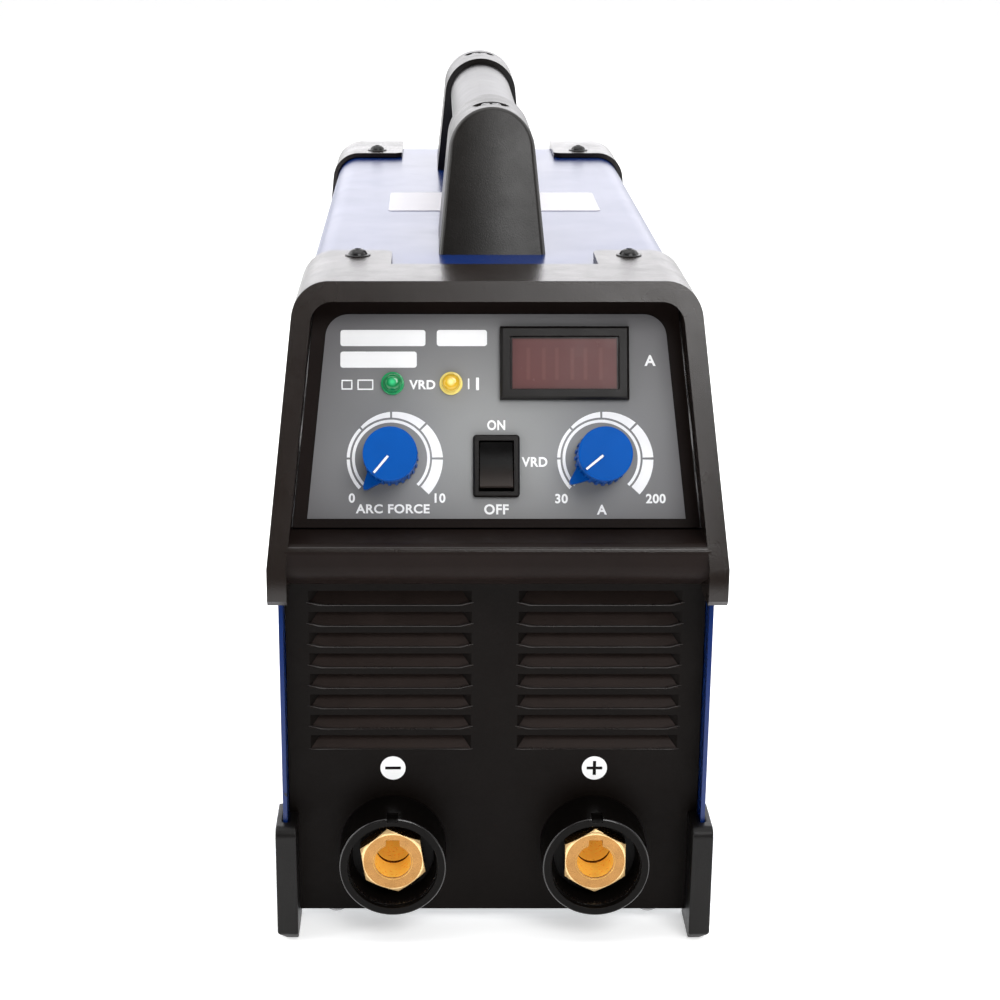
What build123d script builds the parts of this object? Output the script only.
from build123d import *
from math import acos, atan2, cos, hypot, pi, radians, sin, sqrt, tan
import os

os.makedirs("parts", exist_ok=True)

# Stick welding inverter. Millimetres. X to the right, Y to the back, Z up.
# The origin is on the floor, under the middle of the whole object.

# ---------------------------------------------------------------- driving dimensions
# case
overall_depth = 388.0        # lug faces to the ends of the rear protectors
cover_width = 150.0          # outside of the folded cover, below the knee
cover_top = 232.7            # height of the cover's top face
knee_height = 144.6          # above this the front face and the sides lean
face_tilt = 22.0             # front face, degrees back from upright
side_lean = 0.0983           # inward lean of the upper sides, mm per mm of height
corner_radius = 10.0         # top corners of the cover, outside
ground_gap = 4.9             # floor to the lower edge of the sheet metal
cover_sheet = 1.5            # cover and base plate
panel_sheet = 1.2            # front and rear panels
fit_gap = 0.3                # between pieces that are assembled face to face

# plastic frame and corner protectors
skin = 2.5                   # plastic outside the cover
frame_border = 6.6           # width of the frame around the control recess
opening_radius = 7.5         # top corners of the control recess
cover_setback = 15.3         # lug face to the cover's front edge
rear_overhang = 10.6         # rear protectors beyond the cover's rear edge
band_depth = 30.3            # frame, front to back
lug_low = 131.3              # lower end of the side lugs
lug_chamfer = 2.0
tab_length = 26.5            # corner tabs behind the top flange
tab_width = 29.9             # along the top, from the leaning side inwards
tab_low = 205.0              # how far tabs and protectors reach down the sides
tab_radius = 4.0
rear_tab_length = 32.6       # rear protectors over the cover
corner_screw_side = 17.6     # screw to the leaning side of the cover
corner_screw_inset = 10.0    # screw to the free edge of its tab
corner_head = 4.6
corner_head_height = 2.4
corner_shank = 2.0
corner_screw_length = 7.0

# bar under the control recess
bar_top = 152.5
bar_low = 131.5
bar_face_low = 141.0
bar_setback = 2.0            # bar front behind the lug faces
bar_radius = 3.5

# control plate, measured up the plate (s) and out of it (h)
plate_foot_z = 153.2
recess_depth = 15.3          # frame face to plate, square to the plate
plate_sheet = 2.0
plate_foot_drop = 0.35       # below the foot line
sticker_sheet = 0.3
sticker_margin = 5.0
sticker_foot = 2.8
sticker_top_margin = 7.5
sticker_radius = 8.0

# controls
dial_x = 36.1
dial_s = 23.5
knob_skirt_radius = 8.9
knob_cap_radius = 9.2
knob_height = 18.0
knob_cap_height = 3.0
knob_lift = 1.0
knob_ribs = 24
knob_rib_proud = 0.55
knob_rib_width = 1.1
knob_wall = 2.5
nib_reach = 14.4
nib_half = 4.5
nib_height = 4.0
pointer_width = 1.1
pointer_depth = 0.5
arc_force_rest = 230.0       # pointer angles at rest, anticlockwise from the right
current_rest = 219.0
shaft_radius = 3.0
running_gap = 0.05
bushing_radius = 3.6
bushing_height = 4.6
pot_radius = 8.25
pot_depth = 9.5
vrd_width = 16.0
vrd_length = 21.5
vrd_s = 20.8
meter_x = 23.5
meter_s = 56.3
meter_width = 44.4
meter_height = 25.5
meter_rim = 3.6
led_s = 49.4
led_xs = (-35.6, -15.5)
lamp_stem_radius = 2.5
lamp_neck_radius = 3.4
lamp_flange_radius = 4.0
lamp_flange_sheet = 1.0
lamp_dome_radius = 3.1
lamp_dome_height = 4.2
lamp_stem_length = 6.0
lamp_clip_radius = 4.8
lamp_clip_length = 3.0

# front panel
panel_setback = 24.0         # lug face to the front panel
louvre_rows = 8
louvre_pitch = 7.8
louvre_top_z = 123.3         # bend line of the top row
louvre_height = 5.2
louvre_depth = 3.8
louvre_inner_x = 8.2
louvre_side_margin = 9.8
louvre_taper = 3.7           # each end, from the bend line to the free edge
disc_radius = 4.5
disc_z = 61.2
disc_sheet = 0.3

# output sockets
socket_x = 36.0
socket_z = 31.1
socket_ring_radius = 19.0
socket_wall = 2.9            # at the ring's mouth
socket_proud = 18.4          # ring beyond the panel
socket_cup_depth = 10.5
socket_cup_taper = 1.6
socket_neck_wall = 3.0
socket_neck_length = 13.0    # behind the panel's face
socket_notch_width = 4.0
socket_notch_depth = 1.6
socket_nut_sheet = 6.0
socket_nut_wall = 4.5
brass_setback = 4.6          # ring front to the brass face
brass_bore_radius = 6.5
brass_bore_depth = 32.0
brass_wall = 3.0
brass_length = 44.0
key_width = 5.0
key_reach = 1.9              # beyond the bore
key_length = 12.0
stub_radius = 5.0
stub_length = 14.0
stub_nut_flats = 17.0
stub_nut_height = 8.0
busbar_sheet = 2.0
busbar_half = 8.0

# feet
foot_width = 7.5
foot_height = 44.3
foot_proud = 6.7             # beyond the cover's edge
foot_wing = 15.0             # along the cover
foot_chamfer = 3.0

# handle
handle_clear = 21.8          # hand gap between the cover and the tube
tube_radius = 13.5
tube_wall = 2.0
tube_shell = 2.5             # bracket around the tube
bracket_flare = 3.6          # each side, from the tube down to the cover
bracket_front_inset = 97.0   # lug face to the front bracket's base
bracket_rear_inset = 26.0    # rear protector ends to the rear bracket's base
bracket_base = 55.0          # along Y
bracket_front_lean = 19.0
bracket_back_lean = 6.0
bracket_wall = 3.5
handle_recess = 1.6
handle_recess_inset = 13.0   # top front edge of the bracket to the recess
handle_recess_length = 19.0
handle_recess_width = 8.5
handle_screw_spread = 15.0
handle_shank = 2.5
handle_boss = 5.0

# rear
rear_panel_inset = 9.0       # cover's rear edge to the panel
fan_size = 119.0
fan_thickness = 25.4
fan_z = 78.0
fan_rim = 2.5                # thinnest wall of the fan frame
fan_tip_gap = 1.5
fan_hole_inset = 7.1         # screw hole to the edge of the frame
fan_shaft_radius = 1.5
fan_seat_sheet = 3.0
hub_radius = 20.0
blade_count = 7
blade_sheet = 1.8
guard_wire = 0.9
guard_rings = 5
guard_inner_radius = 14.0
gland_x = -42.0
gland_rise = 40.5            # above the fan frame
gland_thread = 10.0
gland_flats = 26.0
gland_bore_radius = 5.5
gland_proud = 17.0
gland_flange = 5.0
mains_x = 28.0
mains_rise = 42.5
mains_width = 24.0
mains_length = 32.0
earth_radius = 3.0
earth_inset = 15.0           # stud to the cover's side
earth_rise = 10.5

# rocker switches
rocker_rim = 2.0
rocker_proud = 2.0
rocker_tilt = 10.0
rocker_pivot_h = -1.0
rocker_pin = 1.5
rocker_depth = 14.0

# screws
steel_head = 4.0
steel_head_height = 2.0
steel_shank = 2.0
steel_screw_length = 7.0
cover_screw_z = 14.0
cover_screw_inset = 45.0     # from the cover's front and rear edges
drive_slot = 1.0

# label on the top
label_left = -40.0
label_right = 47.0
label_front = -1.0
label_back = 46.0
label_sheet = 0.2
label_radius = 2.0

# inside
base_flange = 20.0
board_lift = 10.0
board_sheet = 1.6
board_side_gap = 13.0
board_front_inset = 57.0     # behind the front panel
board_rear_gap = 6.0         # in front of the fan
board_screw_inset = 6.0
sink_x = 34.0
sink_sheet = 5.0
sink_fins = 8
sink_fin_half = 0.9
sink_fin_reach = 20.0
sink_height = 62.0
package_half = 7.8
package_depth = 5.0
package_low = 12.0
package_height = 20.0
core_inset = 52.0            # board's front edge to the middle of the core
core_x = 26.0
core_half_y = 14.0
core_height = 52.0
core_leg = 8.0
core_side = 7.0
winding_bulge = 10.0
choke_gap = 4.5
choke_radius = 17.0
choke_wire_radius = 8.5
can_inset = 9.0              # can to the board's rear edge
can_radius = 15.0
can_height = 46.0
can_pitch = 36.0

# ---------------------------------------------------------------- derived places
front_y = -overall_depth / 2
rear_y = overall_depth / 2
cover_front = front_y + cover_setback
cover_rear = rear_y - rear_overhang
panel_y = front_y + panel_setback
rear_panel_y = cover_rear - rear_panel_inset
top_z = cover_top + skin
lean = tan(radians(face_tilt))
opening_grow = skin - frame_border
cover_top_half = cover_width / 2 - side_lean * (cover_top - knee_height)
corner_screw_x = cover_top_half - corner_screw_side
tab_inner_x = cover_top_half - tab_width
flange_back = front_y + lean * (top_z - knee_height) + band_depth
tab_back = flange_back + tab_length
rear_tab_front = cover_rear - rear_tab_length
inner_grow = -cover_sheet - fit_gap
tube_z = cover_top + handle_clear + tube_radius
socket_front = panel_y - socket_proud
base_top = ground_gap + cover_sheet
board_z = base_top + board_lift
fan_front = rear_panel_y - panel_sheet - fit_gap - fan_thickness
fan_top = fan_z + fan_size / 2
fan_bore_radius = fan_size / 2 - fan_rim
rotor_radius = fan_bore_radius - fan_tip_gap
fan_hole_pitch = fan_size - 2 * fan_hole_inset
gland_z = fan_top + gland_rise
mains_z = fan_top + mains_rise
earth_x = earth_inset - cover_width / 2
earth_z = fan_top + earth_rise
socket_mouth_radius = socket_ring_radius - socket_wall
brass_shank_radius = brass_bore_radius + brass_wall
brass_flats = 2 * brass_shank_radius + 2.5
socket_neck_radius = brass_shank_radius + socket_neck_wall
cup_floor = socket_front + socket_cup_depth
neck_back = panel_y + socket_neck_length
brass_face = socket_front + brass_setback
brass_back = brass_face + brass_length
bracket_radius = tube_radius + tube_shell
bracket_half_base = bracket_radius + bracket_flare
bracket_mid_front = front_y + bracket_front_inset + bracket_base / 2
bracket_mid_rear = rear_y - bracket_rear_inset - bracket_base / 2
corner_screw_ys = (tab_back - corner_screw_inset, rear_tab_front + corner_screw_inset)
cover_screw_ys = (cover_front + cover_screw_inset, 0.0, cover_rear - cover_screw_inset)
board_half_width = cover_width / 2 - board_side_gap
board_y0 = panel_y + board_front_inset
board_y1 = fan_front - board_rear_gap
part_z = board_z + board_sheet
capacitor_y = board_y1 - can_radius - can_inset
transformer_y = board_y0 + core_inset
choke_y = transformer_y + core_half_y + winding_bulge + choke_radius + choke_wire_radius + choke_gap

DOWN_Y = (0, -1, 0)


# ---------------------------------------------------------------- small helpers
def block(x0, x1, y0, y1, z0, z1):
    """Box between two corners."""
    middle = ((x0 + x1) / 2, (y0 + y1) / 2, (z0 + z1) / 2)
    return Pos(*middle) * Box(abs(x1 - x0), abs(y1 - y0), abs(z1 - z0))


def rod_y(radius, y0, y1, x=0.0, z=0.0):
    """Cylinder along Y."""
    return Pos(x, (y0 + y1) / 2, z) * Rot(90, 0, 0) * Cylinder(radius, abs(y1 - y0))


def rod_x(radius, x0, x1, y=0.0, z=0.0):
    """Cylinder along X."""
    return Pos((x0 + x1) / 2, y, z) * Rot(0, 90, 0) * Cylinder(radius, abs(x1 - x0))


def rod_z(radius, z0, z1, x=0.0, y=0.0):
    """Cylinder along Z."""
    return Pos(x, y, (z0 + z1) / 2) * Cylinder(radius, abs(z1 - z0))


def hexagon_z(across_flats, z0, z1, x=0.0, y=0.0, turn=0.0):
    """Hexagonal prism along Z."""
    face = RegularPolygon(across_flats / sqrt(3), 6)
    return Pos(x, y, z0) * Rot(0, 0, turn) * extrude(face, amount=z1 - z0)


def pair_x(solid):
    """A solid and its mirror image across the middle plane."""
    return solid + mirror(solid, about=Plane.YZ)


def half_width(z, grow=0.0):
    """Half-width of the case at height z, offset outwards by grow."""
    return cover_width / 2 + grow - side_lean * max(0.0, z - knee_height)


def case_outline(grow, low, radius=None):
    """Cross-section of the case from height low up, offset outwards by grow."""
    top = cover_top + grow
    right = [(half_width(z, grow), z) for z in (low, knee_height, top)]
    left = [(-x, z) for x, z in reversed(right)]
    face = make_face(Polyline(*right, *left, close=True))
    corners = [v for v in face.vertices() if v.Y > top - 1.0]
    return fillet(corners, corner_radius + grow if radius is None else radius)


def case_prism(grow, y0, y1, low=ground_gap, radius=None):
    """The case's cross-section drawn out from y0 to y1."""
    face = Plane.XZ.offset(-y1) * case_outline(grow, low, radius)
    return extrude(face, amount=y1 - y0, dir=DOWN_Y)


def face_y(z, depth=0.0):
    """Y at height z of the surface that lies depth behind the front face."""
    return front_y + depth + lean * max(0.0, z - knee_height)


def side_prism(points, reach):
    """A side profile, given as (y, z) points, drawn out to both sides."""
    face = make_face(Plane.YZ * Polyline(*points, close=True))
    return extrude(face, amount=reach, dir=(1, 0, 0), both=True)


def front_band(depth0, depth1, low, high):
    """Side profile between two depths behind the front face."""
    rise = [(face_y(z, depth0), z) for z in (low, knee_height, high)]
    fall = [(face_y(z, depth1), z) for z in (high, knee_height, low)]
    return rise + fall


plate_y = face_y(plate_foot_z) + recess_depth / cos(radians(face_tilt))
face_frame = Location(Plane(
    origin=(0, plate_y, plate_foot_z),
    x_dir=(1, 0, 0),
    z_dir=(0, -cos(radians(face_tilt)), sin(radians(face_tilt))),
))
shelf_z = (plate_foot_z - fit_gap - plate_foot_drop * cos(radians(face_tilt))
           - plate_sheet * sin(radians(face_tilt)))
plate_top_s = (cover_top + opening_grow - fit_gap - plate_foot_z) / cos(radians(face_tilt))
rear_frame = Location(Plane(origin=(0, rear_panel_y, 0), x_dir=(-1, 0, 0), z_dir=(0, 1, 0)))


def pan_head(radius, height, shank_radius, shank_length):
    """Cross-recessed pan-head screw along Z; the underside of its head is at zero."""
    head = fillet(rod_z(radius, 0, height).edges().filter_by(GeomType.CIRCLE).sort_by(Axis.Z)[-1],
                  height * 0.6)
    screw = head + rod_z(shank_radius, -shank_length, 0)
    reach = radius * 0.55
    half = drive_slot / 2
    screw -= block(-reach, reach, -half, half, height * 0.45, height + 1)
    screw -= block(-half, half, -reach, reach, height * 0.45, height + 1)
    return screw


# ---------------------------------------------------------------- case
def case_cover():
    """Folded sheet: two sides and the top, open below and at both ends."""
    sheet = case_prism(0, cover_front, cover_rear)
    sheet -= case_prism(-cover_sheet, cover_front - 1, cover_rear + 1, low=0)
    sheet &= side_prism([
        (face_y(0, cover_setback), 0),
        (face_y(knee_height, cover_setback), knee_height),
        (face_y(top_z + 10, cover_setback), top_z + 10),
        (cover_rear, top_z + 10),
        (cover_rear, 0),
    ], cover_width)
    for x in (-corner_screw_x, corner_screw_x):
        for y in corner_screw_ys:
            sheet -= rod_z(corner_shank + 0.3, cover_top - 5, cover_top + 5, x, y)
    for middle in (bracket_mid_front, bracket_mid_rear):
        for y in (middle - handle_screw_spread, middle + handle_screw_spread):
            sheet -= rod_z(handle_shank + 0.3, cover_top - 5, cover_top + 5, 0, y)
    for y in cover_screw_ys:
        sheet -= rod_x(steel_shank + 0.3, -cover_width, cover_width, y, cover_screw_z)
    return sheet


def cover_label():
    """Blank rating label on the top, under the handle."""
    plate = block(label_left, label_right, label_front, label_back, cover_top, cover_top + label_sheet)
    return fillet(plate.edges().filter_by(Axis.Z), label_radius)


def base_plate():
    """Tray with upturned sides that the cover is screwed to."""
    side = half_width(0) - cover_sheet - fit_gap
    y0 = panel_y + panel_sheet + fit_gap
    y1 = rear_panel_y - panel_sheet - fit_gap
    tray = block(-side, side, y0, y1, ground_gap, ground_gap + base_flange)
    tray -= block(-side + cover_sheet, side - cover_sheet, y0 - 1, y1 + 1,
                  base_top, ground_gap + base_flange + 1)
    for y in cover_screw_ys:
        tray -= rod_x(steel_shank + 0.02, -cover_width, cover_width, y, cover_screw_z)
    for x, y in base_screw_places():
        tray -= rod_z(steel_shank + 0.02, 0, base_top + 1, x, y)
    return tray


def screws_from_parts(places):
    """Silver pan-head screws at (location) places, as one group."""
    return [place * pan_head(steel_head, steel_head_height, steel_shank, steel_screw_length)
            for place in places]


def base_screw_places():
    """Screws up through the base plate into the board standoffs."""
    reach = board_half_width - board_screw_inset
    return [(x, y) for x in (-reach, reach)
            for y in (board_y0 + board_screw_inset, board_y1 - board_screw_inset)]


def front_bezel():
    """Moulded frame around the controls, with side lugs and corner tabs."""
    shell = case_prism(skin, front_y, tab_back, low=lug_low)
    profile = front_band(0, band_depth, lug_low, top_z + 1)
    frame = shell & side_prism(profile, cover_width)
    tabs = case_prism(skin, flange_back - 3, tab_back, low=lug_low)
    tabs &= pair_x(block(tab_inner_x, cover_width, flange_back - 3, tab_back, tab_low, top_z + 1))
    tabs -= case_prism(fit_gap, flange_back - 4, tab_back + 1, low=lug_low - 1)
    ends = [e for e in tabs.edges().filter_by(Axis.Z)
            if abs(e.center().Y - tab_back) < 0.01 and abs(abs(e.center().X) - tab_inner_x) < 0.01]
    tabs = fillet(ends, tab_radius)
    frame -= case_prism(opening_grow, front_y - 1, tab_back + 1, low=lug_low - 1,
                        radius=opening_radius)
    slot = case_prism(fit_gap, front_y - 1, tab_back + 1, low=lug_low - 1)
    slot -= case_prism(inner_grow, front_y - 2, tab_back + 2, low=lug_low - 2)
    slot &= side_prism(front_band(cover_setback - fit_gap, band_depth + 99, lug_low - 2, top_z + 9),
                       cover_width)
    frame -= slot
    behind_panel = case_prism(fit_gap, panel_y - fit_gap, tab_back + 1, low=lug_low - 1)
    frame -= behind_panel & block(-cover_width, cover_width, panel_y - fit_gap, tab_back, 0, bar_top - 3)
    lug_edges = [e for e in frame.edges().filter_by(Axis.X)
                 if abs(e.center().Z - lug_low) < 0.01 and abs(e.center().Y - front_y) < 0.01]
    frame = chamfer(lug_edges, lug_chamfer)
    frame += tabs
    frame += crossbar()
    for x in (-corner_screw_x, corner_screw_x):
        frame -= rod_z(corner_shank + 0.2, cover_top - 9, top_z + 1, x, corner_screw_ys[0])
    return frame


def crossbar():
    """Bar under the control recess, with a rounded upper front edge and a shelf under the plate."""
    reach = half_width(0, opening_grow) + 0.5
    y0 = front_y + bar_setback
    y1 = panel_y - fit_gap
    bar = side_prism([
        (plate_y - 0.6, bar_top),
        (y0, bar_top),
        (y0, bar_face_low),
        (y1 - 1.0, bar_low),
        (y1, bar_low),
        (y1, shelf_z),
        (plate_y - 0.6, shelf_z),
    ], reach)
    nose = bar.edges().filter_by(Axis.X).group_by(Axis.Y)[0].sort_by(Axis.Z)
    bar = fillet(nose[-1], bar_radius)
    chin = bar.edges().filter_by(Axis.X).group_by(Axis.Y)[0].sort_by(Axis.Z)[0]
    return fillet(chin, bar_radius * 2)


def rear_protector(side):
    """Corner protector at the rear top; side is -1 on the left and 1 on the right."""
    body = case_prism(skin, rear_tab_front, rear_y, low=lug_low)
    body &= block(side * tab_inner_x, side * cover_width, rear_tab_front, rear_y, tab_low, top_z + 1)
    body -= case_prism(opening_grow, rear_tab_front - 1, rear_y + 1, low=lug_low - 1,
                       radius=opening_radius)
    slot = case_prism(fit_gap, rear_tab_front - 1, cover_rear + fit_gap, low=lug_low - 1)
    slot -= case_prism(inner_grow, rear_panel_y + fit_gap, cover_rear + 1, low=lug_low - 2)
    body -= slot
    ends = [e for e in body.edges().filter_by(Axis.Z)
            if abs(e.center().Y - rear_tab_front) < 0.01 and abs(abs(e.center().X) - tab_inner_x) < 0.01]
    body = fillet(ends, tab_radius)
    body -= rod_z(corner_shank + 0.2, cover_top - 9, top_z + 1, side * corner_screw_x,
                  corner_screw_ys[1])
    return body


def corner_screws():
    """Four black screws in the top corners."""
    group = []
    for x in (-corner_screw_x, corner_screw_x):
        for y in corner_screw_ys:
            group.append(Pos(x, y, top_z) * pan_head(corner_head, corner_head_height, corner_shank,
                                                     corner_screw_length))
    return Compound(children=group)


def corner_foot(side, end):
    """Upright corner foot; end is -1 at the front and 1 at the rear."""
    edge = cover_front if end < 0 else cover_rear
    outer = half_width(0, skin)
    inner = outer - foot_width
    y_out = edge + end * foot_proud
    y_in = edge - end * foot_wing
    body = block(side * inner, side * outer, y_out, y_in, 0, foot_height)
    low = [e for e in body.edges() if abs(e.center().Z) < 0.01
           and (abs(e.center().Y - y_out) < 0.01 or abs(abs(e.center().X) - outer) < 0.01)]
    body = chamfer(low, foot_chamfer)
    high = [e for e in body.edges().filter_by(Axis.X)
            if abs(e.center().Z - foot_height) < 0.01 and abs(e.center().Y - y_out) < 0.01]
    body = fillet(high, foot_wing / 4)
    wall = half_width(0)
    body -= block(side * (wall - cover_sheet - fit_gap), side * (wall + fit_gap),
                  edge + end * fit_gap, y_in - end, ground_gap - fit_gap, foot_height + 1)
    panel_face = panel_y if end < 0 else rear_panel_y
    body -= block(side * (inner - 1), side * (wall - cover_sheet / 2),
                  panel_face + end * fit_gap, y_in - end, ground_gap - fit_gap, foot_height + 1)
    return body


# ---------------------------------------------------------------- front panel
def louvre_wedge(depth, drop, grow, width):
    """Wedge that leans inwards from a bend line at its foot; it is open at the top."""
    height = louvre_height + drop
    far = 0.8 + drop * 0.6
    taper = louvre_taper
    solid = Solid.make_wedge(width + 2 * grow, depth, height,
                             taper, height - far, width + 2 * grow - taper, height)
    return Pos(-width / 2 - grow, 0, -drop) * solid


def front_panel():
    """Black steel panel with two columns of inward louvres and two socket holes."""
    panel = case_prism(inner_grow, panel_y, panel_y + panel_sheet)
    panel &= block(-cover_width, cover_width, panel_y, panel_y + panel_sheet, ground_gap, bar_top - 3.5)
    width = half_width(0) - louvre_side_margin - louvre_inner_x
    x = louvre_inner_x + width / 2
    recess = louvre_wedge(louvre_depth, 0.0, 0.0, width)
    hood = louvre_wedge(louvre_depth + 0.9, 1.0, 0.9, width)
    places = [Pos(sx * x, panel_y, louvre_top_z - row * louvre_pitch)
              for sx in (-1, 1) for row in range(louvre_rows)]
    panel += [place * hood for place in places]
    panel -= [place * recess for place in places]
    for sx in (-1, 1):
        panel -= rod_y(socket_neck_radius + 0.2, panel_y - 1, panel_y + 6, sx * socket_x, socket_z)
    return panel


def polarity_discs():
    """Two thin discs above the sockets with a minus and a plus pierced in them."""
    discs = []
    for sx in (-1, 1):
        disc = rod_y(disc_radius, panel_y - disc_sheet, panel_y, sx * socket_x, disc_z)
        x = sx * socket_x
        disc -= block(x - 2.8, x + 2.8, panel_y - 1, panel_y + 1, disc_z - 0.6, disc_z + 0.6)
        if sx > 0:
            disc -= block(x - 0.6, x + 0.6, panel_y - 1, panel_y + 1, disc_z - 2.8, disc_z + 2.8)
        discs.append(disc)
    return Compound(children=discs)


# ---------------------------------------------------------------- sockets
def socket_insulator(x):
    """Round insulator: a cup in front of the panel and a threaded neck through it."""
    body = rod_y(socket_ring_radius, socket_front, panel_y, x, socket_z)
    body = fillet(body.edges().filter_by(GeomType.CIRCLE).sort_by(Axis.Y)[0], 0.8)
    body += rod_y(socket_neck_radius, panel_y - 1, neck_back, x, socket_z)
    cup = Pos(x, (socket_front + cup_floor) / 2, socket_z) * Rot(90, 0, 0) * Cone(
        socket_mouth_radius - socket_cup_taper, socket_mouth_radius, socket_cup_depth)
    body -= cup
    body -= rod_y(socket_mouth_radius, socket_front - 1, socket_front + 2.2, x, socket_z)
    body -= rod_y(brass_shank_radius + running_gap, socket_front, neck_back + 1, x, socket_z)
    top = socket_z + socket_ring_radius
    half = socket_notch_width / 2
    body -= block(x - half, x + half, socket_front - 1, socket_front + 5, top - socket_notch_depth, top + 1)
    return body


def socket_brass(x, turn):
    """Hexagon-headed brass contact with a keyed bore and a rear stub."""
    head = hexagon_z(brass_flats, 0, cup_floor - brass_face, turn=90 + turn)
    top = cup_floor - brass_face
    dome = rod_z(brass_flats, -1, top - 2)
    dome += Pos(0, 0, top - 1.0) * Cone(brass_flats / 2 + 3.2, brass_flats / 2 - 0.3, 2.0)
    head &= dome
    body = head + rod_z(brass_shank_radius, top - brass_length, 0)
    body += rod_z(stub_radius, top - brass_length - stub_length, top - brass_length)
    bore = rod_z(brass_bore_radius, top - brass_bore_depth, top + 1)
    spin = top - key_length
    key = block(-key_width / 2, key_width / 2, 0, brass_bore_radius + key_reach, spin, top + 1)
    body -= bore + key
    body -= rod_z(brass_bore_radius + key_reach, spin - 4, spin)
    return Location(Plane(origin=(x, cup_floor, socket_z), x_dir=(1, 0, 0), z_dir=DOWN_Y)) * body


def socket_nuts():
    """Ring nuts behind the panel and hexagon nuts on the rear stubs."""
    group = []
    for sx in (-1, 1):
        x = sx * socket_x
        y0 = panel_y + panel_sheet
        ring = rod_y(socket_neck_radius + socket_nut_wall, y0, y0 + socket_nut_sheet, x, socket_z)
        ring -= rod_y(socket_neck_radius + running_gap, panel_y, panel_y + 9, x, socket_z)
        group.append(ring)
        nut = hexagon_z(stub_nut_flats, 0, stub_nut_height)
        nut -= rod_z(stub_radius + running_gap, -1, stub_nut_height + 1)
        nut_back = brass_back + busbar_sheet + stub_nut_height
        group.append(Location(Plane(origin=(x, nut_back, socket_z), x_dir=(1, 0, 0), z_dir=DOWN_Y)) * nut)
    return Compound(children=group)


def output_busbars():
    """Copper strips from the socket stubs down and back onto the main board."""
    group = []
    for sx in (-1, 1):
        x = sx * socket_x
        low = board_z + board_sheet + 0.3
        strip = block(x - busbar_half, x + busbar_half, brass_back, brass_back + busbar_sheet,
                      low, socket_z + busbar_half)
        strip -= rod_y(stub_radius + 0.2, brass_back - 1, brass_back + 5, x, socket_z)
        strip += block(x - busbar_half, x + busbar_half, brass_back + busbar_sheet / 2, board_y0 + 18,
                       low, low + busbar_sheet)
        group.append(strip)
    return Compound(children=group)


# ---------------------------------------------------------------- controls
def control_plate():
    """Moulded plate at the bottom of the control recess."""
    reach = cover_width
    plate = face_frame * block(-reach, reach, -plate_foot_drop, plate_top_s + 20, -plate_sheet, 0)
    plate &= case_prism(opening_grow - fit_gap, front_y, tab_back, low=lug_low,
                        radius=opening_radius - fit_gap)
    plate -= face_frame * control_holes(-plate_sheet - 1, 1)
    return plate


def control_holes(h0, h1, grow=0.0):
    """Holes for the potentiometers, lamps, switch and meter."""
    holes = []
    for x in (-dial_x, dial_x):
        holes.append(rod_z(bushing_radius + 0.2 + grow, h0, h1, x, dial_s))
    for x in led_xs:
        holes.append(rod_z(lamp_neck_radius + 0.2 + grow, h0, h1, x, led_s))
    w = vrd_width / 2 - 1 + 0.2 + grow
    v = vrd_length / 2 - 1 + 0.2 + grow
    holes.append(block(-w, w, vrd_s - v, vrd_s + v, h0, h1))
    w = meter_width / 2 - 2 + 0.2 + grow
    v = meter_height / 2 - 2 + 0.2 + grow
    holes.append(block(meter_x - w, meter_x + w, meter_s - v, meter_s + v, h0, h1))
    return Compound(children=holes)


def panel_sticker():
    """Printed film on the control plate."""
    top = plate_top_s - sticker_top_margin
    foot_half = half_width(plate_foot_z, opening_grow) - sticker_margin - fit_gap
    slope = side_lean * cos(radians(face_tilt))
    points = [(-foot_half, sticker_foot), (foot_half, sticker_foot),
              (foot_half - slope * top, top), (-foot_half + slope * top, top)]
    face = make_face(Polyline(*points, close=True))
    face = fillet([v for v in face.vertices() if v.Y > top - 1], sticker_radius)
    film = extrude(face, amount=sticker_sheet, dir=(0, 0, 1))
    film -= control_holes(-1, sticker_sheet + 1, grow=0.1)
    return face_frame * film


def potentiometer(x):
    """Housing and bushing behind the plate, with three tags."""
    back = -plate_sheet
    body = rod_z(pot_radius, back - pot_depth, back, x, dial_s)
    body += rod_z(bushing_radius, back, bushing_height, x, dial_s)
    for tag in (-5, 0, 5):
        body += block(x + tag - 0.8, x + tag + 0.8, dial_s - pot_radius - 6, dial_s - pot_radius + 2,
                      back - 3.0, back - 2.2)
    body -= rod_z(shaft_radius + running_gap, back - 6, bushing_height + 1, x, dial_s)
    return face_frame * body


def pot_nuts():
    """Hexagon nuts that clamp the bushings."""
    group = []
    for x in (-dial_x, dial_x):
        nut = hexagon_z(10, sticker_sheet, sticker_sheet + 2, x, dial_s)
        nut -= rod_z(bushing_radius + running_gap, 0, 9, x, dial_s)
        group.append(face_frame * nut)
    return Compound(children=group)


def control_shaft(x):
    """Plain shaft that the knob is pressed on."""
    return face_frame * rod_z(shaft_radius, -plate_sheet - 5.5, knob_height - 5, x, dial_s)


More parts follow.
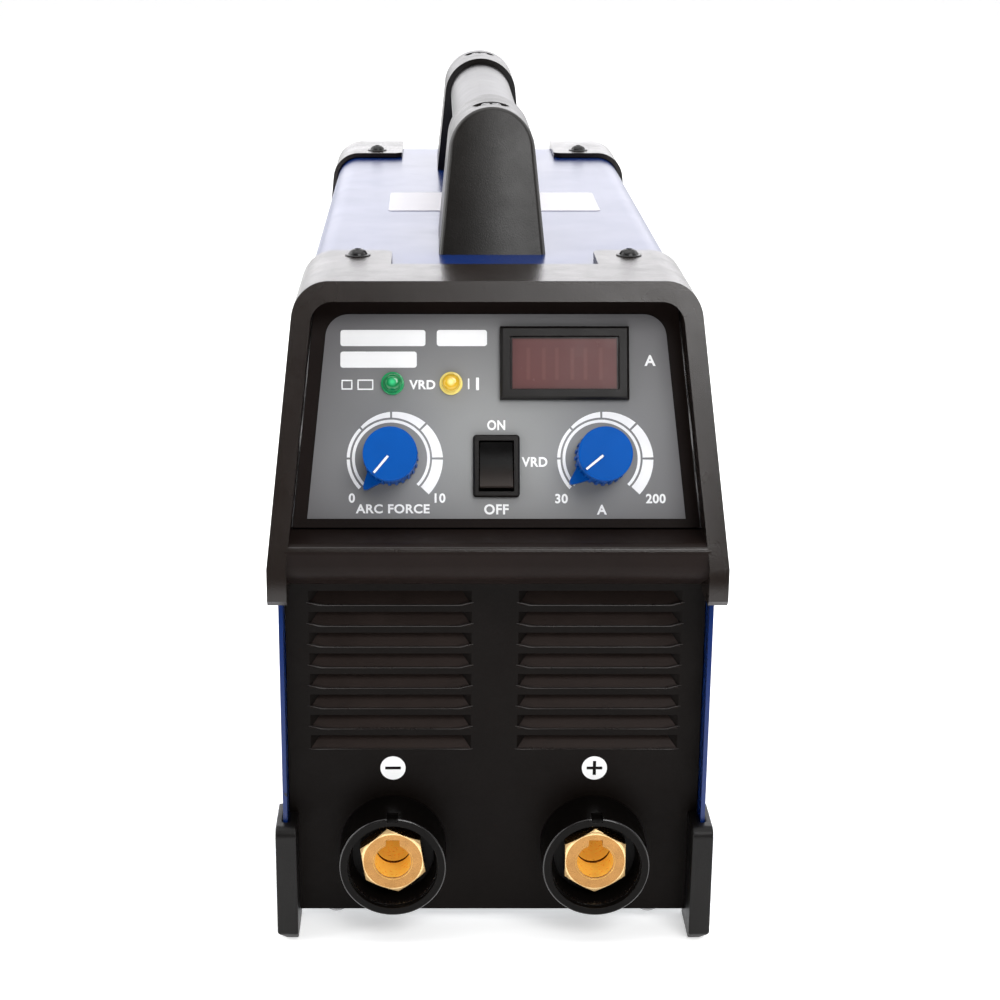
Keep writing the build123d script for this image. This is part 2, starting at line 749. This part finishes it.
def control_knob(x, angle):
    """Ribbed knob with a flat cap, a pointer groove and a pointer nib; angle is where it points."""
    grip = Circle(knob_skirt_radius)
    rib = Pos(knob_skirt_radius, 0) * Rectangle(2 * knob_rib_proud, knob_rib_width)
    for i in range(knob_ribs):
        grip += Rot(0, 0, 360 / knob_ribs * (i + 0.5)) * rib
    cap_foot = knob_height - knob_cap_height
    knob = extrude(Pos(0, 0, knob_lift) * grip, amount=cap_foot - knob_lift, taper=1.5)
    cap = rod_z(knob_cap_radius, cap_foot - 0.5, knob_height)
    cap = fillet(cap.edges().filter_by(GeomType.CIRCLE).sort_by(Axis.Z)[-1], 0.8)
    knob += cap
    root = knob_skirt_radius - 3.7
    shoulder = nib_reach - 0.8
    nib = make_face(Polyline((root, -nib_half), (shoulder, -0.9), (nib_reach, 0), (shoulder, 0.9),
                             (root, nib_half), close=True))
    knob += extrude(Pos(0, 0, knob_lift) * nib, amount=nib_height, dir=(0, 0, 1))
    half = pointer_width / 2
    knob -= block(1.0, knob_skirt_radius, -half, half, knob_height - pointer_depth, knob_height + 1)
    knob -= rod_z(knob_skirt_radius - knob_wall, 0, bushing_height + 0.6)
    knob -= rod_z(shaft_radius + 0.02, 0, knob_height - 5 + 0.3)
    return face_frame * Pos(x, dial_s, 0) * Rot(0, 0, angle) * knob


def lamp_holders():
    """Two ring clips that hold the lamps from behind the plate."""
    group = []
    back = -plate_sheet
    for x in led_xs:
        ring = rod_z(lamp_clip_radius, back - lamp_clip_length, back, x, led_s)
        ring += rod_z(lamp_neck_radius, back - lamp_clip_length, sticker_sheet, x, led_s)
        ring -= rod_z(lamp_stem_radius + running_gap, back - lamp_clip_length - 1, 1, x, led_s)
        group.append(face_frame * ring)
    return Compound(children=group)


def lamp(x):
    """Coloured lens with a flange and a low dome, on a stem through the plate."""
    foot = sticker_sheet
    stem = rod_z(lamp_stem_radius, -plate_sheet - lamp_stem_length, foot + 0.1, x, led_s)
    flange = rod_z(lamp_flange_radius, foot, foot + lamp_flange_sheet, x, led_s)
    flange = fillet(flange.edges().filter_by(GeomType.CIRCLE).sort_by(Axis.Z)[-1], 0.4)
    dome = rod_z(lamp_dome_radius, foot, lamp_dome_height, x, led_s)
    dome = fillet(dome.edges().filter_by(GeomType.CIRCLE).sort_by(Axis.Z)[-1], lamp_dome_radius * 0.6)
    return face_frame * (stem + flange + dome)


def meter_bezel():
    """Frame and rear barrel of the current meter."""
    w = meter_width / 2
    v = meter_height / 2
    top = sticker_sheet + 2.7
    rim = block(-w, w, -v, v, sticker_sheet, top)
    rim = chamfer(rim.faces().sort_by(Axis.Z)[-1].edges(), 0.8)
    barrel = block(-w + 2, w - 2, -v + 2, v - 2, -14, sticker_sheet + 0.5)
    body = rim + barrel
    body -= block(-w + meter_rim, w - meter_rim, -v + meter_rim, v - meter_rim, -20, top + 1)
    return face_frame * Pos(meter_x, meter_s, 0) * body


def meter_window():
    """Tinted window set in the meter's frame."""
    w = meter_width / 2 - meter_rim - 0.05
    v = meter_height / 2 - meter_rim - 0.05
    return face_frame * Pos(meter_x, meter_s, 0) * block(-w, w, -v, v, 0.6, 1.8)


def meter_display():
    """Three-digit display on its small board."""
    w = meter_width / 2 - meter_rim - 0.4
    v = meter_height / 2 - meter_rim - 0.4
    body = block(-w, w, -v, v, -10, -8.4) + block(-w + 3, w - 3, -v + 2, v - 2, -8.5, -2)
    return face_frame * Pos(meter_x, meter_s, 0) * body


def control_board():
    """Small circuit board parallel to the control plate, behind the controls."""
    h1 = -plate_sheet - pot_depth - 9.0
    half = half_width(plate_foot_z, opening_grow) - 18
    board = block(-half, half, 2, plate_top_s - 12, h1 - board_sheet, h1)
    w = vrd_width / 2 + 1.5
    v = vrd_length / 2 + 1.5
    board -= block(-w, w, vrd_s - v, vrd_s + v, h1 - 5, h1 + 5)
    for x in (-44, -28, 20, 36):
        board += block(x, x + 12, 8, 20, h1 - 0.1, h1 + 3)
    return face_frame * board


# ---------------------------------------------------------------- rocker switches
def switch_housing(width, length, base):
    """Clip-in housing; its well holds the rocker. base is the height it seats at."""
    w = width / 2
    v = length / 2
    rim = block(-w, w, -v, v, base, base + rocker_proud)
    rim = fillet(rim.edges().filter_by(Axis.Z), 1.2)
    rim = chamfer(rim.faces().sort_by(Axis.Z)[-1].edges(), 0.6)
    body = rim + block(-w + 1, w - 1, -v + 1, v - 1, base - rocker_depth, base + 0.2)
    body -= block(-w + rocker_rim, w - rocker_rim, -v + rocker_rim, v - rocker_rim,
                  base - rocker_depth + 2, base + 9)
    body -= rod_x(rocker_pin + running_gap, -w + rocker_rim - 0.8, w - rocker_rim + 0.8,
                  0, base + rocker_pivot_h)
    for s in (-v * 0.5, v * 0.5):
        body += block(-2.4, 2.4, s - 0.4, s + 0.4, base - rocker_depth - 7, base - rocker_depth + 0.5)
    return body


def switch_rocker(width, length, base, turn):
    """Concave rocker with pin stubs, tipped by turn degrees about its pins."""
    w = width / 2 - rocker_rim - fit_gap
    v = length / 2 - rocker_rim
    dip = -rocker_pivot_h + 0.7
    high = dip + 0.22 * v
    flanks = Polyline((-v, high), (-v * 0.5, -7), (v * 0.5, -7), (v, high))
    face = make_face(Plane.YZ * (flanks + ThreePointArc((v, high), (0, dip), (-v, high))))
    body = extrude(face, amount=w, dir=(1, 0, 0), both=True)
    body &= rod_x(v - fit_gap, -w - 1, w + 1)
    body += rod_x(rocker_pin, -w - fit_gap - 0.7, w + fit_gap + 0.7)
    return Pos(0, 0, base + rocker_pivot_h) * Rot(turn, 0, 0) * body


# ---------------------------------------------------------------- handle
def arch_face():
    """Upright arch: leaning sides that run smoothly into a round top around the tube."""
    r = bracket_radius
    half = bracket_half_base
    rise = tube_z - cover_top
    turn = acos(r / hypot(half, rise)) - atan2(rise, half)
    x = r * cos(turn)
    z = tube_z + r * sin(turn)
    sides = Polyline((-x, z), (-half, cover_top), (half, cover_top), (x, z))
    return make_face(sides + ThreePointArc((x, z), (0, tube_z + r), (-x, z)))


def handle_bracket():
    """Front bracket of the handle, standing on the cover and holding the tube."""
    y0 = front_y + bracket_front_inset
    y1 = y0 + bracket_base
    top = tube_z + bracket_radius
    body = extrude(Plane.XZ.offset(-y1 - 40) * arch_face(), amount=bracket_base + 60, dir=DOWN_Y)
    body &= side_prism([
        (y0, cover_top),
        (y0 + bracket_front_lean, top + 0.1),
        (y1 + bracket_back_lean, top + 0.1),
        (y1, cover_top),
    ], 60)
    front = body.faces().sort_by(Axis.Y)[0]
    body = fillet(front.edges().sort_by(Axis.Z)[1:], 2.0)
    tube_front = y0 + bracket_front_lean + 4
    body -= rod_y(tube_radius + running_gap, tube_front, y1 + 60, 0, tube_z)
    cavity_top = tube_z - tube_radius - bracket_wall
    body -= block(-bracket_half_base + bracket_wall + 1, bracket_half_base - bracket_wall - 1,
                  y0 + bracket_wall + 5, y1 - bracket_wall, cover_top - 1, cavity_top)
    middle = (y0 + y1) / 2
    for y in (middle - handle_screw_spread, middle + handle_screw_spread):
        boss = rod_z(handle_boss, cover_top, cavity_top + 0.5, 0, y)
        body += boss - rod_z(handle_shank + 0.02, cover_top - 1, cavity_top - 2, 0, y)
    recess_y = y0 + bracket_front_lean + handle_recess_inset
    recess = extrude(Pos(0, recess_y, top - handle_recess) * SlotOverall(
        handle_recess_length, handle_recess_width), amount=9, dir=(0, 0, 1))
    body -= recess
    body -= rod_z(2.2, tube_z, top, 0, recess_y)
    return body


def to_rear(solid):
    """Mirror a front bracket piece onto the rear bracket's place."""
    shift = bracket_mid_front + bracket_mid_rear
    return Pos(0, shift, 0) * mirror(solid, about=Plane.XZ)


def handle_tube():
    """Grip tube between the two brackets."""
    inset = bracket_front_inset + bracket_front_lean + 4.3
    y0 = front_y + inset
    y1 = bracket_mid_front + bracket_mid_rear - y0
    tube = rod_y(tube_radius, y0, y1, 0, tube_z) - rod_y(tube_radius - tube_wall, y0 - 1, y1 + 1, 0, tube_z)
    recess_y = front_y + bracket_front_inset + bracket_front_lean + handle_recess_inset
    for y in (recess_y, bracket_mid_front + bracket_mid_rear - recess_y):
        tube -= rod_z(2.2, tube_z, tube_z + tube_radius + 1, 0, y)
    return tube


def handle_screws():
    """Two screws from above into the tube and four from below into the brackets."""
    top = tube_z + bracket_radius - handle_recess
    recess_y = front_y + bracket_front_inset + bracket_front_lean + handle_recess_inset
    screws = [Pos(0, recess_y, top) * pan_head(3.8, handle_recess - 0.3, 2.0, 4.5)]
    for y in (bracket_mid_front - handle_screw_spread, bracket_mid_front + handle_screw_spread):
        screws.append(Pos(0, y, cover_top - cover_sheet) * Rot(180, 0, 0)
                      * pan_head(4.5, 2.5, handle_shank, 14.0))
    return Compound(children=screws + [to_rear(s) for s in screws])


# ---------------------------------------------------------------- rear
def rear_panel():
    """Steel rear panel with openings for the fan, the switch and the gland."""
    y0 = rear_panel_y - panel_sheet
    panel = case_prism(inner_grow, y0, rear_panel_y)
    panel -= rod_y(fan_bore_radius, y0 - 1, rear_panel_y + 1, 0, fan_z)
    half = fan_hole_pitch / 2
    for x in (-half, half):
        for z in (fan_z - half, fan_z + half):
            panel -= rod_y(steel_shank + 0.2, y0 - 1, rear_panel_y + 1, x, z)
    panel -= rod_y(gland_thread + 0.2, y0 - 1, rear_panel_y + 1, gland_x, gland_z)
    w = mains_width / 2 - 1 + 0.2
    v = mains_length / 2 - 1 + 0.2
    panel -= block(mains_x - w, mains_x + w, y0 - 1, rear_panel_y + 1, mains_z - v, mains_z + v)
    panel -= rod_y(earth_radius + 0.2, y0 - 1, rear_panel_y + 1, earth_x, earth_z)
    return panel


def fan_frame():
    """Square fan frame with a motor seat held by four arms."""
    y0 = fan_front
    y1 = fan_front + fan_thickness
    half = fan_size / 2
    z = fan_z
    body = block(-half, half, y0, y1, z - half, z + half)
    body = fillet(body.edges().filter_by(Axis.Y), 6)
    body -= rod_y(fan_bore_radius, y0 - 1, y1 + 1, 0, z)
    seat = rod_y(hub_radius - 1, y0, y0 + fan_seat_sheet, 0, z)
    for turn in (45, 135):
        arm = Pos(0, y0 + fan_seat_sheet / 2, z) * Rot(0, turn, 0) * Box(
            2 * fan_bore_radius + 2, fan_seat_sheet, 5.0)
        seat += arm
    body += seat
    body += rod_y(4.0, y0, y0 + 14.0, 0, z)
    body -= rod_y(fan_shaft_radius + running_gap, y0 - 1, y0 + 15, 0, z)
    pitch = fan_hole_pitch / 2
    for x in (-pitch, pitch):
        for zz in (z - pitch, z + pitch):
            body -= rod_y(steel_shank + 0.1, y0 - 1, y1 + 1, x, zz)
    return body


def fan_rotor():
    """Hub, shaft and seven pitched blades."""
    y0 = fan_front + 4.0
    y1 = fan_front + fan_thickness - 1.5
    hub = rod_y(hub_radius, y0, y1, 0, 0)
    hub -= rod_y(hub_radius - 2, y0 - 1, y1 - 2, 0, 0)
    hub += rod_y(fan_shaft_radius, fan_front + 0.5, y1 - 1, 0, 0)
    hub += rod_y(3.0, fan_front + 14.5, y1 - 1, 0, 0)
    middle = (y0 + y1) / 2
    depth = y1 - y0
    for i in range(blade_count):
        blade = loft([blade_section(hub_radius - 1, 48, depth), blade_section(rotor_radius + 1, 30, depth)])
        hub += Pos(0, middle, 0) * Rot(0, 360 / blade_count * i, 0) * blade
    hub &= rod_y(rotor_radius, y0 - 9, y1 + 9, 0, 0)
    return Pos(0, 0, fan_z) * hub


def blade_section(radius, pitch, depth):
    """Blade section across the span, square to Z, at a radius up Z."""
    chord = 0.82 * depth / sin(radians(pitch))
    return Pos(0, 0, radius) * Rot(0, 0, pitch) * Rectangle(chord, blade_sheet)


def fan_guard():
    """Wire finger guard: rings on a cross of wires, with four eyes."""
    y = rear_panel_y + guard_wire
    guard = None
    outer = fan_bore_radius - 3.0
    for i in range(guard_rings):
        radius = guard_inner_radius + i * (outer - guard_inner_radius) / (guard_rings - 1)
        ring = Pos(0, y + 2 * guard_wire - 0.4, fan_z) * Rot(90, 0, 0) * Torus(radius, guard_wire)
        guard = ring if guard is None else guard + ring
    reach = fan_hole_pitch / 2 * sqrt(2)
    for turn in (45, 135):
        guard += Pos(0, y, fan_z) * Rot(0, turn, 0) * Rot(0, 90, 0) * Cylinder(guard_wire, 2 * reach - 6)
    half = fan_hole_pitch / 2
    for x in (-half, half):
        for z in (fan_z - half, fan_z + half):
            eye = rod_y(4.4, rear_panel_y, rear_panel_y + 2 * guard_wire, x, z)
            guard += eye
    for x in (-half, half):
        for z in (fan_z - half, fan_z + half):
            guard -= rod_y(steel_shank + 0.2, rear_panel_y - 1, rear_panel_y + 4, x, z)
    return guard


def steel_screws():
    """Silver screws of the base, the cover's sides and the fan."""
    places = [Pos(x, y, ground_gap) * Rot(180, 0, 0) for x, y in base_screw_places()]
    for y in cover_screw_ys:
        places.append(Pos(half_width(0), y, cover_screw_z) * Rot(0, 90, 0))
        places.append(Pos(-half_width(0), y, cover_screw_z) * Rot(0, -90, 0))
    half = fan_hole_pitch / 2
    for x in (-half, half):
        for z in (fan_z - half, fan_z + half):
            places.append(Pos(x, rear_panel_y + 2 * guard_wire, z) * Rot(-90, 0, 0))
    return Compound(children=screws_from_parts(places))


def cable_gland():
    """Gland body with a hexagon, a ribbed cap and an open bore."""
    body = rod_z(gland_thread, -12, 0)
    body += hexagon_z(gland_flats, 0, gland_flange)
    reach = gland_proud - gland_flange
    cap = Pos(0, 0, gland_flange + reach / 2) * Cone(gland_flats / 2 - 1, gland_flats / 2 - 4, reach)
    for i in range(12):
        turn = 2 * pi * i / 12
        r = gland_flats / 2 - 0.6
        cap -= rod_z(1.0, gland_flange, gland_proud - 4, r * cos(turn), r * sin(turn))
    body += cap
    body -= rod_z(gland_bore_radius, -13, gland_proud + 1)
    return rear_frame * Pos(-gland_x, gland_z, 0) * body


def gland_nut():
    """Lock nut of the gland, inside the panel."""
    nut = hexagon_z(gland_flats, -panel_sheet - 5, -panel_sheet)
    nut -= rod_z(gland_thread + running_gap, -20, 1)
    return rear_frame * Pos(-gland_x, gland_z, 0) * nut


def earth_screw():
    """Earth stud with a washer and a nut."""
    stud = rod_z(earth_radius, -8, 11)
    stud += rod_z(7.5, 0, 1.2)
    stud += hexagon_z(10, 1.2, 6.0)
    stud += hexagon_z(10, -panel_sheet - 5, -panel_sheet)
    return rear_frame * Pos(-earth_x, earth_z, 0) * stud


# ---------------------------------------------------------------- inside
def board_standoffs():
    """Hexagon standoffs between the base plate and the main board."""
    group = []
    for x, y in base_screw_places():
        post = hexagon_z(8, base_top, board_z, x, y) - rod_z(steel_shank + 0.02, 0, board_z - 2, x, y)
        group.append(post)
    return Compound(children=group)


def main_board():
    """Power board that carries the sinks, the transformer and the capacitors."""
    board = block(-board_half_width, board_half_width, board_y0, board_y1, board_z, part_z)
    for x in (-board_half_width + 20, board_half_width - 20):
        board += block(x - 5, x + 5, capacitor_y - 38, capacitor_y - 22, part_z - 0.1, part_z + 9)
    return board


def heat_sinks():
    """Two finned extrusions standing on the board, fins outwards."""
    y0 = board_y0 + 24.0
    y1 = capacitor_y - 42.0
    back = sink_x + sink_sheet
    sink = block(sink_x, back, y0, y1, part_z, part_z + sink_height)
    for i in range(sink_fins):
        z = part_z + 2 + i * (sink_height - 4) / (sink_fins - 1)
        sink += block(back - 1, back + sink_fin_reach - 1, y0, y1, z - sink_fin_half, z + sink_fin_half)
    return pair_x(sink)


def transistors():
    """Flat power packages bolted to the inner faces of the sinks."""
    y0 = board_y0 + 40.0
    y1 = capacitor_y - 58.0
    group = []
    for i in range(4):
        y = y0 + i * (y1 - y0) / 3
        low = part_z + package_low
        body = block(sink_x - package_depth, sink_x, y - package_half, y + package_half,
                     low, low + package_height)
        for lead in (-5.4, 0, 5.4):
            body += block(sink_x - 3.0, sink_x - 2.2, y + lead - 0.6, y + lead + 0.6, part_z, low + 0.1)
        group += [body, mirror(body, about=Plane.YZ)]
    return Compound(children=group)


def transformer_core():
    """Ferrite double-E core standing on the board."""
    y = transformer_y
    core = block(-core_x, core_x, y - core_half_y, y + core_half_y, part_z, part_z + core_height)
    for side in (-1, 1):
        core -= block(side * core_leg, side * (core_x - core_side), y - 40, y + 40,
                      part_z + core_leg, part_z + core_height - core_leg)
    return core


def transformer_winding():
    """Taped winding around the core's middle leg."""
    y = transformer_y
    reach = core_x - core_side - 0.5
    depth = core_half_y + winding_bulge
    coil = block(-reach, reach, y - depth, y + depth,
                 part_z + core_leg + 0.5, part_z + core_height - core_leg - 0.5)
    coil = fillet(coil.edges().filter_by(Axis.Z), 7)
    hole = core_leg + fit_gap
    coil -= block(-hole, hole, y - core_half_y - fit_gap, y + core_half_y + fit_gap,
                  part_z, part_z + core_height)
    return coil


def output_choke():
    """Toroidal choke lying on the board."""
    return Pos(0, choke_y, part_z + choke_wire_radius + 0.2) * Torus(choke_radius, choke_wire_radius)


def capacitors():
    """Three bulk capacitors standing on the board."""
    group = []
    for x in (-can_pitch, 0, can_pitch):
        can = rod_z(can_radius, part_z, part_z + can_height, x, capacitor_y)
        can = fillet(can.edges().filter_by(GeomType.CIRCLE).sort_by(Axis.Z)[-1], 1.5)
        group.append(can)
    return Compound(children=group)


# ---------------------------------------------------------------- the assembly
vrd_place = face_frame * Pos(0, vrd_s, 0)
mains_place = rear_frame * Pos(-mains_x, mains_z, 0)
front_bracket = handle_bracket()

nodes = {
    "case_cover": case_cover(),
    "cover_label": cover_label(),
    "base_plate": base_plate(),
    "front_panel": front_panel(),
    "front_bezel": front_bezel(),
    "control_plate": control_plate(),
    "panel_sticker": panel_sticker(),
    "front_foot_left": corner_foot(-1, -1),
    "front_foot_right": corner_foot(1, -1),
    "rear_foot_left": corner_foot(-1, 1),
    "rear_foot_right": corner_foot(1, 1),
    "rear_protector_left": rear_protector(-1),
    "rear_protector_right": rear_protector(1),
    "corner_screws": corner_screws(),
    "steel_screws": steel_screws(),
    "handle_front_bracket": front_bracket,
    "handle_rear_bracket": to_rear(front_bracket),
    "handle_tube": handle_tube(),
    "handle_screws": handle_screws(),
    "arc_force_potentiometer": potentiometer(-dial_x),
    "current_potentiometer": potentiometer(dial_x),
    "potentiometer_nuts": pot_nuts(),
    "arc_force_shaft": control_shaft(-dial_x),
    "current_shaft": control_shaft(dial_x),
    "arc_force_knob": control_knob(-dial_x, arc_force_rest),
    "current_knob": control_knob(dial_x, current_rest),
    "vrd_switch_housing": vrd_place * switch_housing(vrd_width, vrd_length, sticker_sheet),
    "vrd_rocker": vrd_place * switch_rocker(vrd_width, vrd_length, sticker_sheet, -rocker_tilt),
    "meter_bezel": meter_bezel(),
    "meter_window": meter_window(),
    "meter_display": meter_display(),
    "lamp_holders": lamp_holders(),
    "lamp_green": lamp(led_xs[0]),
    "lamp_yellow": lamp(led_xs[1]),
    "control_board": control_board(),
    "polarity_discs": polarity_discs(),
    "socket_insulator_minus": socket_insulator(-socket_x),
    "socket_insulator_plus": socket_insulator(socket_x),
    "socket_contact_minus": socket_brass(-socket_x, 9),
    "socket_contact_plus": socket_brass(socket_x, 0),
    "socket_nuts": socket_nuts(),
    "output_busbars": output_busbars(),
    "rear_panel": rear_panel(),
    "fan_frame": fan_frame(),
    "fan_rotor": fan_rotor(),
    "fan_guard": fan_guard(),
    "mains_switch_housing": mains_place * switch_housing(mains_width, mains_length, 0),
    "mains_rocker": mains_place * switch_rocker(mains_width, mains_length, 0, rocker_tilt),
    "cable_gland": cable_gland(),
    "gland_nut": gland_nut(),
    "earth_screw": earth_screw(),
    "board_standoffs": board_standoffs(),
    "main_board": main_board(),
    "heat_sinks": heat_sinks(),
    "transistors": transistors(),
    "transformer_core": transformer_core(),
    "transformer_winding": transformer_winding(),
    "output_choke": output_choke(),
    "capacitors": capacitors(),
}

for name, solid in nodes.items():
    export_step(solid, f"parts/{name}.step")
